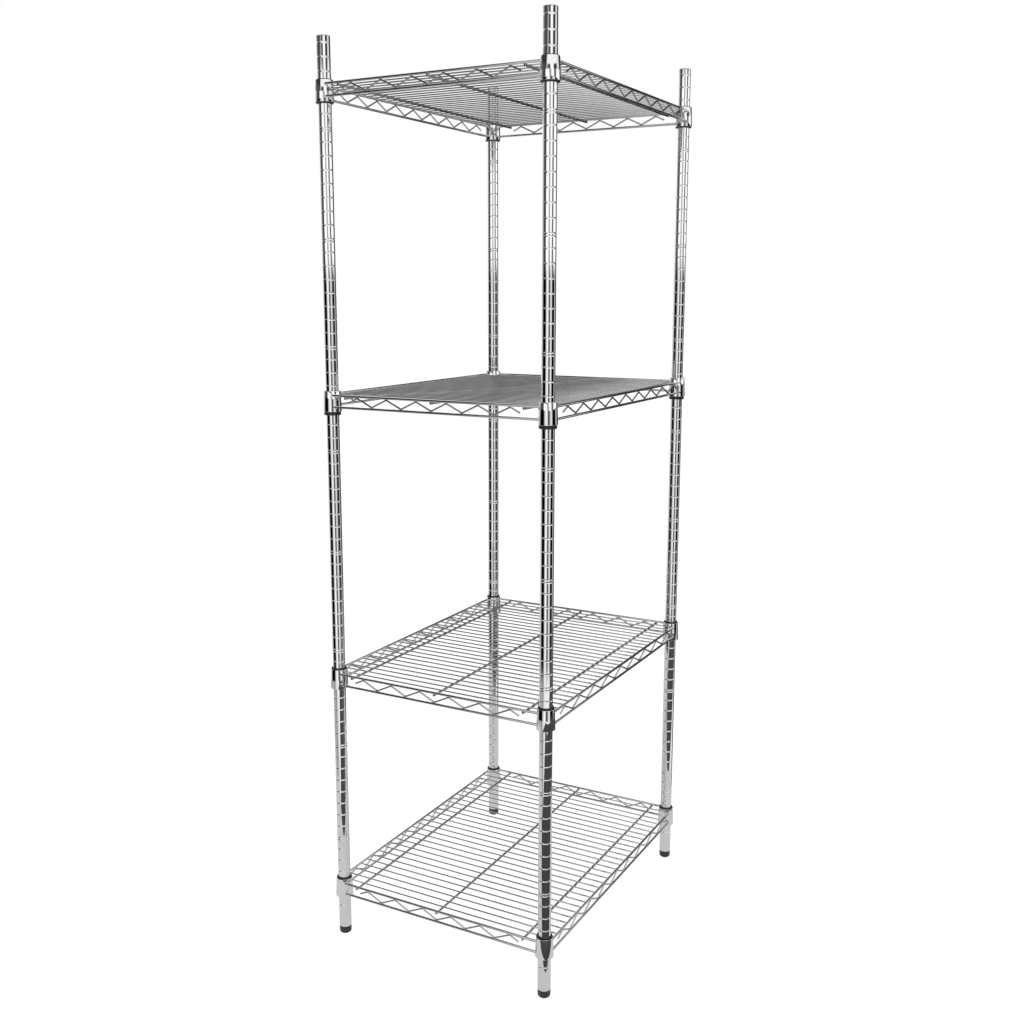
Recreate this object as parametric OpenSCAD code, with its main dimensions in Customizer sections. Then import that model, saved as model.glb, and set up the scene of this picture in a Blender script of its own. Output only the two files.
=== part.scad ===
// Wire shelving unit: four welded wire shelves that wedge onto split sleeves on four grooved posts.
// The origin is on the floor under the middle of the unit. X runs along the long side and Z is up.
// Shelves are counted from the top down. All sizes are in millimetres.

/* [Unit] */
// Distance between post centres along the long side
width_cc = 640; // [500:1:900]
// Distance between post centres along the short side
depth_cc = 472; // [380:1:600]

/* [Posts] */
// Length of a post tube
post_length = 1788; // [1500:1:2000]
// Outer diameter of a post tube
post_d = 25.4; // [24:0.1:30]
// Wall of a post tube
post_wall = 1.2; // [1:0.1:2]
// Distance from one groove to the next
groove_pitch = 25.4; // [24:0.1:26]
// Distance from the top of the tube down to its first groove
first_groove = 12; // [9:0.5:14]
// Width of a groove
groove_width = 3; // [2.4:0.1:3.6]
// Depth of a groove
groove_depth = 0.6; // [0.5:0.05:0.7]
// Least plain length between the last groove and the bottom of the tube
plain_end = 47; // [30:1:60]
// Grooves from one marked groove to the next
marker_every = 8; // [4:1:12]
// Distance from a marked groove down to its marker groove
marker_drop = 5; // [4:0.5:8]

/* [Post caps] */
// Height of the cap rim on top of a post
cap_rim = 1; // [0.6:0.1:3]
// Length of the cap plug inside the tube
cap_plug = 12; // [8:1:20]

/* [Split sleeves] */
// Length of a sleeve
sleeve_length = 44; // [40:1:50]
// Wall of a sleeve at its top
sleeve_top_wall = 2.2; // [1.8:0.1:2.6]
// Wall of a sleeve at its bottom
sleeve_bottom_wall = 3.85; // [3.4:0.05:4.4]
// Height of the ridges that sit in the grooves
ridge_height = 0.35; // [0.25:0.05:0.4]
// Width of a ridge at its base
ridge_width = 1.8; // [1.4:0.1:2]
// Gap between the two halves of a sleeve
sleeve_split = 0.4; // [0.2:0.1:1]
// Rounding of the lower outer edge of a sleeve
sleeve_round = 1.2; // [0.8:0.1:1.6]

/* [Shelf places] */
// Grooves from the post top down to the sleeves of the top shelf
shelf_1_step = 3; // [1:1:6]
// Grooves from the post top down to the sleeves of the upper shelf
shelf_2_step = 26; // [14:1:30]
// Grooves from the lowest groove up to the sleeves of the lower shelf
shelf_3_step = 20; // [14:1:26]
// Grooves from the lowest groove up to the sleeves of the bottom shelf
shelf_4_step = 2; // [1:1:8]
// Height of the top shelf's collar tops above the bottom of its sleeves
shelf_1_seat = 42.5; // [40:0.1:48]
// Height of the upper shelf's collar tops above the bottom of its sleeves
shelf_2_seat = 47; // [40:0.1:48]
// Height of the lower shelf's collar tops above the bottom of its sleeves
shelf_3_seat = 40.7; // [40:0.1:48]
// Height of the bottom shelf's collar tops above the bottom of its sleeves
shelf_4_seat = 40.7; // [40:0.1:48]

/* [Collars] */
// Height of a corner collar
collar_height = 40; // [38:0.5:44]
// Wall of a corner collar
collar_wall = 1.2; // [1:0.1:2]
// Rounding of the collar edges
collar_edge = 0.4; // [0.2:0.05:0.45]

/* [Side wires] */
// Diameter of the side wires
side_wire_d = 5; // [4:0.1:6]
// Distance from the collar top down to the middle of the top side wire
top_wire_drop = 8; // [6:0.5:11]
// Distance between the middles of the top and the bottom side wire
truss_height = 22.5; // [20:0.5:26]
// Angle round the collar at which the side wires are welded to it
weld_angle = 45; // [40:1:48]
// How far welded wires sink into each other
weld_sink = 0.3; // [0.1:0.05:0.4]

/* [Zigzag wires] */
// Diameter of the zigzag wires
zigzag_wire_d = 3.5; // [3:0.1:4]
// Radius of a bend, at the middle of the wire
zigzag_bend = 5; // [4:0.5:6]
// Straight length past the last bend
zigzag_tail = 19; // [12:1:22]
// Upper bends of a zigzag on the long side
long_zigzag_bends = 9; // [5:1:9]
// Mat wires from one upper bend to the next on the long side
mats_per_bend = 3; // [2:1:3]
// Upper bends of a zigzag on the short side. An even number leaves the middle support rod its place
short_zigzag_bends = 6; // [4:2:8]
// Distance from the post centres to the first upper bend on the short side
short_zigzag_start = 69; // [64:1:76]

/* [Mat] */
// Diameter of the mat wires
mat_wire_d = 3; // [2.5:0.1:3.6]
// Number of mat wires
mat_wires = 29; // [27:1:33]
// How far the ends of the mat wires reach into the inner faces of the long side wires
mat_reach = 0.6; // [0.4:0.1:1]
// Diameter of the support rods
rod_d = 4.8; // [4:0.1:5.4]
// Distance from the post centres to the outer support rods
rod_inset = 41; // [38:1:50]
// How far the support rods stop short of the outer faces of the short side wires
rod_end_short = 0.5; // [0:0.1:2]

/* [Feet] */
// Height of a foot base
foot_height = 15; // [13:0.5:20]
// Diameter of a foot base
foot_d = 25; // [24:0.1:28]
// Width across the flats of the foot's grip
foot_flats = 22.8; // [22:0.1:24]
// Radius of the foot's lower edge
foot_round = 5; // [3:0.5:6]
// Chamfer on the corners of the foot's grip
foot_chamfer = 1.2; // [0.5:0.1:2]
// Diameter of a foot stud
stud_d = 9.5; // [8:0.1:12]
// Pitch of the stud's thread
thread_pitch = 1.5875; // [1.25:0.0125:1.75]
// Depth of the stud's thread
thread_depth = 0.6; // [0.4:0.05:0.8]
// Length of the stud inside the foot base
stud_grip = 10; // [8:0.5:11]
// Length of the stud inside the insert
stud_reach = 24; // [20:1:40]
// Length of the insert inside the post
insert_plug = 26; // [20:1:40]
// Height of the insert's rim below the post
insert_rim = 1.5; // [1:0.1:3]

/* [Clearances] */
// Gap between a sleeve and its post
sleeve_gap = 0.1; // [0.05:0.05:0.2]
// Gap between a collar and its sleeve at the deepest seat
wedge_gap = 0.3; // [0.2:0.05:0.4]
// Gap between a plug and the inside of its tube
plug_gap = 0.05; // [0.02:0.01:0.1]
// Gap round a stud
stud_gap = 0.1; // [0.05:0.05:0.2]
// Gap between a foot base and the insert above it, and under the stud's end
foot_gap = 0.3; // [0.1:0.1:1]

/* [Hidden] */
$fn = 48;
CORNERS = [["front_left", -1, -1], ["front_right", 1, -1], ["back_left", -1, 1], ["back_right", 1, 1]];
SHELVES = ["top_shelf", "upper_shelf", "lower_shelf", "bottom_shelf"];
SHELF_PIECES = ["collars", "top_wires", "bottom_wires", "long_zigzags", "short_zigzags",
                "mat_wires", "support_rods", "inner_sleeves", "outer_sleeves"];
CORNER_PIECES = ["post", "post_cap", "foot_insert", "foot_stud", "foot_base"];

// Posts
post_r = post_d / 2;
bore_r = post_r - post_wall;
rim_z = foot_height + foot_gap;
post_z = rim_z + insert_rim;
post_top = post_z + post_length;
grooves = floor((post_length - first_groove - plain_end) / groove_pitch) + 1;
lowest = grooves - 1;
groove_sides = 6;
groove_depths = [for (i = [0 : lowest])
                 for (drop = i % marker_every == marker_every - 2 ? [0, marker_drop] : [0])
                 first_groove + i * groove_pitch + drop];

// Places of the shelves: grooves from the post top down to the sleeves, and collar tops above sleeve bottoms
steps = [shelf_1_step, shelf_2_step, lowest - shelf_3_step, lowest - shelf_4_step];
seats = [shelf_1_seat, shelf_2_seat, shelf_3_seat, shelf_4_seat];

// Sleeves and collars share one taper
taper = (sleeve_bottom_wall - sleeve_top_wall) / sleeve_length;
sleeve_in_r = post_r + sleeve_gap;
sleeve_top_r = sleeve_in_r + sleeve_top_wall;
ridges = floor((sleeve_length - first_groove - ridge_width) / groove_pitch) + 1;
collar_in_r = sleeve_top_r + taper * (sleeve_length - min(seats)) + wedge_gap;
collar_top_r = collar_in_r + collar_wall;
collar_bottom_r = collar_top_r + taper * collar_height;

// Wires
side_r = side_wire_d / 2;
zigzag_r = zigzag_wire_d / 2;
bend_lap = 0.3;
bend_swell = 0.02;
mat_r = mat_wire_d / 2;
rod_r = rod_d / 2;
weld_r = collar_top_r + taper * (top_wire_drop + truss_height / 2);
side_out = weld_r * sin(weld_angle);
web_drop = side_r + zigzag_r - weld_sink;
web_height = truss_height - 2 * web_drop;

// The mat wires and the short side wires are spaced evenly and lie on the support rods.
// The first and the last mat wire run from collar to collar
even_pitch = (width_cc + 2 * side_out) / (mat_wires + 1);
mat_inset = min(even_pitch - side_out, weld_r - mat_wire_d);
mat_pitch = (width_cc - 2 * mat_inset) / (mat_wires - 1);
rod_drop = side_r + rod_r - weld_sink;
mat_drop = rod_drop - rod_r - mat_r + weld_sink;
short_zigzag_step = (depth_cc - 2 * short_zigzag_start) / (short_zigzag_bends - 1);

// Feet
stud_r = stud_d / 2;
foot_r = foot_d / 2;
stud_z = foot_height - stud_grip + foot_gap;
stud_length = stud_grip + insert_rim + stud_reach;
threads = floor(stud_length / thread_pitch);

// Height of the sleeve tops and of the collar tops of one shelf
function sleeve_z(shelf) = post_top - steps[shelf] * groove_pitch;
function collar_z(shelf) = sleeve_z(shelf) - sleeve_length + seats[shelf];
function top_wire_z(shelf) = collar_z(shelf) - top_wire_drop;

module at_corner(c) {
    translate([c[1] * width_cc / 2, c[2] * depth_cc / 2, 0]) children();
}

module at_corners() {
    for (c = CORNERS) at_corner(c) children();
}

// A straight round wire along X, centred on the origin
module wire_x(length, r) {
    rotate([0, 90, 0]) cylinder(h = length, r = r, center = true, $fn = 24);
}

// A straight round wire along Y, centred on the origin
module wire_y(length, r) {
    rotate([90, 0, 0]) cylinder(h = length, r = r, center = true, $fn = 24);
}

// Outline of a groove that is centred at height z: one wave across its width
function groove_points(z) = [for (i = [0 : groove_sides])
    [post_r - groove_depth * sin(180 * i / groove_sides),
     z - groove_width / 2 + groove_width * i / groove_sides]];

module post() {
    color("silver") translate([0, 0, post_top]) rotate_extrude()
        polygon(concat(
            [[bore_r, 0], [bore_r, -post_length], [post_r, -post_length]],
            [for (i = [len(groove_depths) - 1 : -1 : 0]) each groove_points(-groove_depths[i])],
            [[post_r, 0]]));
}

module post_cap() {
    edge = cap_rim / 3;
    color("dimgray") translate([0, 0, post_top]) rotate_extrude()
        polygon([[0, -cap_plug], [bore_r - plug_gap - edge, -cap_plug], [bore_r - plug_gap, edge - cap_plug],
                 [bore_r - plug_gap, 0], [post_r, 0], [post_r, cap_rim - edge], [post_r - edge, cap_rim],
                 [0, cap_rim]]);
}

module foot_insert() {
    rim_r = post_r - post_wall / 2;
    edge = insert_rim / 2;
    in_r = stud_r + stud_gap;
    color("lightgray") translate([0, 0, rim_z]) rotate_extrude()
        polygon([[in_r, 0], [rim_r - edge, 0], [rim_r, edge], [rim_r, insert_rim],
                 [bore_r - plug_gap, insert_rim], [bore_r - plug_gap, insert_rim + insert_plug],
                 [in_r, insert_rim + insert_plug]]);
}

// The thread is drawn as rings, so the stud looks the same however far it is turned
module foot_stud() {
    color("gray") translate([0, 0, stud_z]) rotate_extrude()
        polygon(concat(
            [[0, 0], [stud_r - thread_depth, 0]],
            [for (i = [0 : threads - 1]) each [[stud_r, (i + 0.5) * thread_pitch],
                                               [stud_r - thread_depth, (i + 1) * thread_pitch]]],
            [[stud_r - thread_depth, stud_length], [0, stud_length]]));
}

module foot_base() {
    hole_r = stud_r + stud_gap;
    color([0.16, 0.16, 0.17]) difference() {
        intersection() {
            rotate_extrude()
                polygon(concat(
                    [[0, 0]],
                    [for (a = [0 : 15 : 90]) [foot_r - foot_round * (1 - sin(a)), foot_round * (1 - cos(a))]],
                    [[foot_r, foot_height - foot_chamfer], [foot_r - 2 * foot_chamfer, foot_height],
                     [0, foot_height]]));
            linear_extrude(foot_height) circle(d = foot_flats / cos(30), $fn = 6);
        }
        translate([0, 0, foot_height - stud_grip]) cylinder(h = stud_grip + 1, r = hole_r);
    }
}

// Outline of a sleeve, with its top at height 0
module sleeve_outline() {
    base_r = sleeve_top_r + taper * sleeve_length;
    edge = sleeve_top_wall / 5;
    ridge_flat = ridge_width - ridge_height;
    polygon(concat(
        [[sleeve_top_r - edge, 0], [sleeve_in_r, 0]],
        [for (i = [0 : ridges - 1]) let (z = -first_groove - i * groove_pitch)
            each [[sleeve_in_r, z + ridge_width / 2], [sleeve_in_r - ridge_height, z + ridge_flat / 2],
                  [sleeve_in_r - ridge_height, z - ridge_flat / 2], [sleeve_in_r, z - ridge_width / 2]]],
        [[sleeve_in_r, -sleeve_length]],
        [for (a = [0 : 22.5 : 90]) [base_r - sleeve_round * (1 - sin(a)),
                                    -sleeve_length + sleeve_round * (1 - cos(a))]],
        [[sleeve_top_r, -edge]]));
}

// Half sleeves on all four posts. The split crosses the unit's diagonals, and side is 1 for the outer half
module sleeves(shelf, side) {
    reach = 2 * collar_bottom_r;
    color([0.1, 0.1, 0.1]) for (c = CORNERS) at_corner(c) translate([0, 0, sleeve_z(shelf)])
        difference() {
            rotate_extrude() sleeve_outline();
            rotate([0, 0, atan2(side * c[2], side * c[1])])
                translate([sleeve_split / 2 - reach, -reach, -sleeve_length - 1])
                    cube([reach, 2 * reach, sleeve_length + 2]);
        }
}

// Solid of a collar's outer face, grown by extra, with its top at height 0
module collar_body(extra = 0) {
    translate([0, 0, -collar_height])
        cylinder(h = collar_height, r1 = collar_bottom_r + extra, r2 = collar_top_r + extra);
}

module collars(shelf) {
    bottom_in_r = collar_in_r + taper * collar_height;
    e = collar_edge;
    color("silver") translate([0, 0, collar_z(shelf)]) at_corners() rotate_extrude()
        polygon([[collar_in_r, 0], [collar_top_r - e, 0], [collar_top_r, -e],
                 [collar_bottom_r, e - collar_height], [collar_bottom_r - e, -collar_height],
                 [bottom_in_r, -collar_height]]);
}

// The four side wires at one drop below the collar tops, cut to the collars that they are welded to
module side_wires(shelf, drop) {
    color("silver") translate([0, 0, collar_z(shelf)]) difference() {
        translate([0, 0, -drop]) for (s = [-1, 1]) {
            translate([0, s * (depth_cc / 2 + side_out), 0]) wire_x(width_cc, side_r);
            translate([s * (width_cc / 2 + side_out), 0, 0]) wire_y(depth_cc, side_r);
        }
        at_corners() collar_body(-weld_sink);
    }
}

// A bent piece of zigzag wire in the XZ plane, round the origin. Middle is the middle angle of its arc.
// A bend is a hair thicker than the straight wire, so that the two join cleanly
module zigzag_arc(middle, half_angle) {
    rotate([90, 0, 0]) rotate([0, 0, middle - half_angle]) rotate_extrude(angle = 2 * half_angle)
        translate([zigzag_bend, 0]) circle(zigzag_r + bend_swell, $fn = 24);
}

// A straight piece of zigzag wire that leaves the origin at an angle below the X axis.
// It reaches a little into its bends
module zigzag_straight(length, angle) {
    rotate([0, 90 + angle, 0]) translate([0, 0, -bend_lap])
        cylinder(h = length + 2 * bend_lap, r = zigzag_r, $fn = 24);
}

// A whole zigzag wire along X, between its side wires. The middle of the upper side wire is at height 0
module zigzag(bends, step) {
    run = step / 2;
    rise = web_height - 2 * zigzag_bend;
    slope = atan2(rise, run) + asin(2 * zigzag_bend / norm([run, rise]));
    straight = (run - 2 * zigzag_bend * sin(slope)) / cos(slope);
    side = zigzag_bend * sin(slope);
    dip = zigzag_bend * (1 - cos(slope));
    for (i = [0 : bends - 1]) translate([(i - (bends - 1) / 2) * step, 0, -web_drop]) {
        translate([0, 0, -zigzag_bend]) zigzag_arc(90, slope);
        translate([side, 0, -dip]) zigzag_straight(i == bends - 1 ? zigzag_tail : straight, slope);
        translate([-side, 0, -dip]) mirror([1, 0, 0])
            zigzag_straight(i == 0 ? zigzag_tail : straight, slope);
        if (i < bends - 1) translate([run, 0, zigzag_bend - web_height]) zigzag_arc(270, slope);
    }
}

module long_zigzags(shelf) {
    color("silver") for (s = [-1, 1])
        translate([0, s * (depth_cc / 2 + side_out), top_wire_z(shelf)])
            zigzag(long_zigzag_bends, mats_per_bend * mat_pitch);
}

module short_zigzags(shelf) {
    color("silver") for (s = [-1, 1])
        translate([s * (width_cc / 2 + side_out), 0, top_wire_z(shelf)]) rotate([0, 0, 90])
            zigzag(short_zigzag_bends, short_zigzag_step);
}

module mat_wire(i) {
    length = depth_cc + 2 * (side_out - side_r + mat_reach);
    translate([mat_inset - width_cc / 2 + i * mat_pitch, 0, -top_wire_drop - mat_drop]) wire_y(length, mat_r);
}

module mat(shelf) {
    color("silver") translate([0, 0, collar_z(shelf)]) {
        for (i = [1 : mat_wires - 2]) mat_wire(i);
        difference() {
            for (i = [0, mat_wires - 1]) mat_wire(i);
            at_corners() collar_body(-weld_sink);
        }
    }
}

module support_rods(shelf) {
    length = width_cc + 2 * (side_out + side_r - rod_end_short);
    color("silver") for (s = [-1 : 1])
        translate([0, s * (depth_cc / 2 - rod_inset), top_wire_z(shelf) - rod_drop]) wire_x(length, rod_r);
}

for (c = CORNERS) at_corner(c) {
    post();
    post_cap();
    foot_insert();
    foot_stud();
    foot_base();
}

for (n = [0 : len(SHELVES) - 1]) {
    collars(n);
    side_wires(n, top_wire_drop);
    side_wires(n, top_wire_drop + truss_height);
    long_zigzags(n);
    short_zigzags(n);
    mat(n);
    support_rods(n);
    sleeves(n, -1);
    sleeves(n, 1);
}
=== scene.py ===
import math

import bmesh
import bpy
from mathutils import Matrix, Vector


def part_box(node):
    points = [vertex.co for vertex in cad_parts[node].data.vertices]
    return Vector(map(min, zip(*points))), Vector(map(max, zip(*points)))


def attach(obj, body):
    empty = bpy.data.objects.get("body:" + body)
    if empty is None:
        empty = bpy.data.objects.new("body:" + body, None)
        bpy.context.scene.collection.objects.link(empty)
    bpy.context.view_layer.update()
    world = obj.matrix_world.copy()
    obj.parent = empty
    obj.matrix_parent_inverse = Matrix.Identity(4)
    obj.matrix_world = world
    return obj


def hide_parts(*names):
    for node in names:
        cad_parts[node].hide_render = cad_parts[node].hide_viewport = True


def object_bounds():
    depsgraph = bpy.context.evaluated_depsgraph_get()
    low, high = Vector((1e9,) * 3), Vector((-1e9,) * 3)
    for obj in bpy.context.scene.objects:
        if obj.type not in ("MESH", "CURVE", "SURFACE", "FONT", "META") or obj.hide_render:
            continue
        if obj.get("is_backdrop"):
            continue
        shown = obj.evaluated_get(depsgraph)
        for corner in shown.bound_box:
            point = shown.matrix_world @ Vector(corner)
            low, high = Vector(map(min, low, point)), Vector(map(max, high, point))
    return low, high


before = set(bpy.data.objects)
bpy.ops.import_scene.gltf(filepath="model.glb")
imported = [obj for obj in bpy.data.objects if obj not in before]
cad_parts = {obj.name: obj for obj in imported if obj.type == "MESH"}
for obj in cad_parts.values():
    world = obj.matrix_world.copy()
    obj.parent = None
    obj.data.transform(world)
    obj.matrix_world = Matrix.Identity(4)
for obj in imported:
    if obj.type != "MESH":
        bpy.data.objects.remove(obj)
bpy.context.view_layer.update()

scene = bpy.context.scene
mm = 0.001
mergeGap, sliverGap = 1e-6, 1e-7     # m: vertices, and ends of an edge, closer than this become one
corners = ["front_left", "front_right", "back_left", "back_right"]
shelves = ["top_shelf", "upper_shelf", "lower_shelf", "bottom_shelf"]
print("frame loaded:", len(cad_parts), "CAD nodes")


# making pieces

# an edge stays sharp where its two faces turn by more than so many degrees
tubeAngle, wireAngle, plasticAngle = 38, 50, 30


def finishPiece(name, bm, material, body, nodes, sharpAngle=tubeAngle):
    # turns a finished bmesh into a piece that stands for its CAD nodes
    bmesh.ops.recalc_face_normals(bm, faces=bm.faces)
    mesh = bpy.data.meshes.new(name)
    bm.to_mesh(mesh)
    bm.free()
    mesh.shade_smooth()
    mesh.set_sharp_from_angle(angle=math.radians(sharpAngle))
    mesh.materials.append(material)
    piece = bpy.data.objects.new(name, mesh)
    scene.collection.objects.link(piece)
    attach(piece, body)
    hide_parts(*nodes)


def turnedShape(points, segments):
    # a closed outline of (radius, height) in mm, spun into a whole turn about Z
    bm = bmesh.new()
    verts = [bm.verts.new((r * mm, 0, z * mm)) for r, z in points]
    edges = [bm.edges.new(pair) for pair in zip(verts, verts[1:] + verts[:1])]
    bmesh.ops.spin(bm, geom=verts + edges, cent=(0, 0, 0), axis=(0, 0, 1), angle=math.tau,
                   steps=segments, use_merge=True, use_duplicate=False)
    bmesh.ops.remove_doubles(bm, verts=bm.verts, dist=mergeGap)
    bmesh.ops.dissolve_degenerate(bm, edges=bm.edges, dist=sliverGap)
    return bm


def stampShape(target, source, place):
    # adds a moved copy of one bmesh to another
    mesh = bpy.data.meshes.new("stamp")
    source.to_mesh(mesh)
    mesh.transform(place)
    target.from_mesh(mesh)
    bpy.data.meshes.remove(mesh)


def addWire(bm, start, end, radius, sides=16, edge=0.35):
    # a straight round wire between two points in m, with its cut edges eased by so many mm
    start, end = Vector(start), Vector(end)
    aim = Vector((0, 0, 1)).rotation_difference(end - start).to_matrix().to_4x4()
    made = bmesh.ops.create_cone(bm, cap_ends=True, cap_tris=False, segments=sides, radius1=radius,
                                 radius2=radius, depth=(end - start).length,
                                 matrix=Matrix.Translation((start + end) / 2) @ aim)
    rims = {e for v in made["verts"] for e in v.link_edges if any(len(f.verts) > 4 for f in e.link_faces)}
    bmesh.ops.bevel(bm, geom=list(rims), offset=edge * mm, offset_type="OFFSET", affect="EDGES",
                    segments=2, profile=0.5, material=-1)


def beadShape(around, along):
    # a round weld bead of radius 1, to be squashed where it is stamped
    bm = bmesh.new()
    bmesh.ops.create_uvsphere(bm, u_segments=around, v_segments=along, radius=1)
    return bm


def addBead(bm, bead, place, size, turn=0.0):
    # size is the bead's half length, half width and half height in mm, and turn is its angle about Z
    squash = Matrix.Diagonal((*(s * mm for s in size), 1))
    stampShape(bm, bead, Matrix.Translation(place) @ Matrix.Rotation(turn, 4, "Z") @ squash)


def gripRing(bore, middle, half, flat, deep):
    # outline of one ring on a plug, from its lower edge up
    return [(bore - deep, middle - half), (bore, middle - flat), (bore, middle + flat),
            (bore - deep, middle + half)]


boxes = {name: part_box(name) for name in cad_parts}
smallBead, largeBead = beadShape(8, 5), beadShape(14, 8)


def postPlace(corner):
    low, high = boxes["post_" + corner]
    return Vector(((low.x + high.x) / 2, (low.y + high.y) / 2, 0))


# finishes

cloudRange = (0.3, 0.7)      # the noise runs from one colour to the other between these
bumpDistance = 0.0002        # m


def newMaterial(name):
    material = bpy.data.materials.new(name)
    material.use_nodes = True
    nodes, links = material.node_tree.nodes, material.node_tree.links
    return material, nodes, links, nodes["Principled BSDF"]


def noiseField(nodes, links, scale, stretch, detail=3.0):
    # noise on the piece's own coordinates, stretched along an axis where a number is small
    where = nodes.new("ShaderNodeTexCoord")
    mapping = nodes.new("ShaderNodeMapping")
    mapping.inputs["Scale"].default_value = stretch
    noise = nodes.new("ShaderNodeTexNoise")
    noise.inputs["Scale"].default_value = scale
    noise.inputs["Detail"].default_value = detail
    links.new(where.outputs["Object"], mapping.inputs["Vector"])
    links.new(mapping.outputs["Vector"], noise.inputs["Vector"])
    return noise.outputs["Fac"]


def spread(nodes, links, value, low, high, fromLow=cloudRange[0], fromHigh=cloudRange[1]):
    # a value turned into a number between low and high
    ranged = nodes.new("ShaderNodeMapRange")
    ends = (("From Min", fromLow), ("From Max", fromHigh), ("To Min", low), ("To Max", high))
    for socket, number in ends:
        ranged.inputs[socket].default_value = number
    links.new(value, ranged.inputs["Value"])
    return ranged.outputs["Result"]


def blendColours(nodes, links, value, colours):
    # a value turned into a colour between two
    ramp = nodes.new("ShaderNodeValToRGB")
    for element, position, colour in zip(ramp.color_ramp.elements, cloudRange, colours):
        element.position = position
        element.color = (*colour, 1)
    links.new(value, ramp.inputs["Fac"])
    return ramp.outputs["Color"]


def addBump(nodes, links, shader, *heights):
    # heights are (value, strength) pairs, each a bump on top of the last
    last = None
    for value, strength in heights:
        bump = nodes.new("ShaderNodeBump")
        bump.inputs["Strength"].default_value = strength
        bump.inputs["Distance"].default_value = bumpDistance
        links.new(value, bump.inputs["Height"])
        if last:
            links.new(last, bump.inputs["Normal"])
        last = bump.outputs["Normal"]
    links.new(last, shader.inputs["Normal"])


chrome = {
    # duller and brighter patches of the plate; every kind is the same plate, and the wire and rod copies are
    # darkened as painted shade
    "tube": ((0.87, 0.88, 0.89), (0.94, 0.945, 0.955)),
    # wires: the tubes' plate darkened, painted shade
    "wire": ((0.57, 0.58, 0.59), (0.68, 0.685, 0.695)),
    # rods: the tubes' plate darkened much further, painted shade
    "rod": ((0.38, 0.39, 0.40), (0.48, 0.485, 0.495)),
    "polish": (0.015, 0.05),             # least and most roughness
    "specks": (0.0, 0.12, 0.64, 0.8),    # roughness off and on the specks, and the noise that makes them
    "cloudScale": 14,
    "markScale": 900,
    "speckScale": 420,
    "drawMarks": 0.05,                   # strength of the marks that drawing leaves
    "ripple": 0.03,                      # strength of the plate's slow waves
}


def chromeFinish(name, colours, stretch, marks=1.0):
    # bright chrome plate: stretch is small along the way that the metal was drawn
    material, nodes, links, shader = newMaterial(name)
    shader.inputs["Metallic"].default_value = 1.0
    cloud = noiseField(nodes, links, chrome["cloudScale"], (1, 1, 1), 4)
    mark = noiseField(nodes, links, chrome["markScale"], stretch, 2)
    speck = noiseField(nodes, links, chrome["speckScale"], (1, 1, 1), 2)
    links.new(blendColours(nodes, links, cloud, chrome[colours]), shader.inputs["Base Color"])
    rough = nodes.new("ShaderNodeMath")
    rough.operation = "MAXIMUM"
    links.new(spread(nodes, links, cloud, *chrome["polish"]), rough.inputs[0])
    links.new(spread(nodes, links, speck, *chrome["specks"]), rough.inputs[1])
    links.new(rough.outputs[0], shader.inputs["Roughness"])
    addBump(nodes, links, shader, (mark, chrome["drawMarks"] * marks), (cloud, chrome["ripple"]))
    return material


plastic = {
    # two colours, least and most roughness, and strength of the grain
    "sleeve": (((0.012, 0.012, 0.013), (0.024, 0.024, 0.026)), (0.3, 0.5), 0.12),
    "cap": (((0.14, 0.145, 0.15), (0.19, 0.195, 0.2)), (0.35, 0.5), 0.15),
    "foot": (((0.026, 0.026, 0.028), (0.045, 0.045, 0.048)), (0.3, 0.48), 0.15),
    "cloudScale": 30,
    "grainScale": 1800,
}


def plasticFinish(kind):
    # moulded plastic with a fine grain and a little handling shine
    colours, rough, grain = plastic[kind]
    material, nodes, links, shader = newMaterial(kind + " plastic")
    cloud = noiseField(nodes, links, plastic["cloudScale"], (1, 1, 1), 5)
    fine = noiseField(nodes, links, plastic["grainScale"], (1, 1, 1), 3)
    links.new(blendColours(nodes, links, cloud, colours), shader.inputs["Base Color"])
    links.new(spread(nodes, links, cloud, *rough), shader.inputs["Roughness"])
    addBump(nodes, links, shader, (fine, grain))
    return material


zinc = {
    "colours": ((0.55, 0.56, 0.58), (0.70, 0.70, 0.69)),
    "rough": (0.2, 0.36),
    "cloudScale": 60,
    "markScale": 700,
    "marks": 0.15,
}


def zincFinish(name, stretch):
    # bright zinc plate, a little duller and bluer than the chrome
    material, nodes, links, shader = newMaterial(name)
    shader.inputs["Metallic"].default_value = 1.0
    cloud = noiseField(nodes, links, zinc["cloudScale"], (1, 1, 1), 4)
    mark = noiseField(nodes, links, zinc["markScale"], stretch, 2)
    links.new(blendColours(nodes, links, cloud, zinc["colours"]), shader.inputs["Base Color"])
    links.new(spread(nodes, links, mark, *zinc["rough"]), shader.inputs["Roughness"])
    addBump(nodes, links, shader, (mark, zinc["marks"]))
    return material


postChrome = chromeFinish("post chrome", "tube", (1, 1, 0.03))
collarChrome = chromeFinish("collar chrome", "tube", (1, 1, 0.15), 0.8)
# the rod, mat and bent wire chromes take the darkened copies of the plate, painted shade
rodChromePaintedShade = chromeFinish("rod chrome painted shade", "rod", (0.03, 1, 1))
matChromePaintedShade = chromeFinish("mat chrome painted shade", "wire", (1, 0.03, 1))
bentWireChromePaintedShade = chromeFinish("bent wire chrome painted shade", "wire", (1, 1, 1), 0.6)
sleevePlastic = plasticFinish("sleeve")
capPlastic = plasticFinish("cap")
footPlastic = plasticFinish("foot")
insertZinc = zincFinish("insert zinc", (1, 1, 0.1))
studZinc = zincFinish("stud zinc", (0.1, 0.1, 1))
print("finishes made")


# posts

post = {
    "radius": 12.7,
    "wall": 1.2,
    "pitch": 25.4,
    "firstGroove": 12.0,
    "grooveWidth": 3.0,
    "grooveDepth": 0.6,
    "grooveSteps": 8,
    "besideGroove": 0.3,    # plain line that keeps the wall beside a groove straight in the reflections
    "plainEnd": 47.0,
    "markerEvery": 8,
    "markerDrop": 5.0,
    "lip": 0.25,            # easing of the tube's cut ends
    "around": 64,
}


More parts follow.
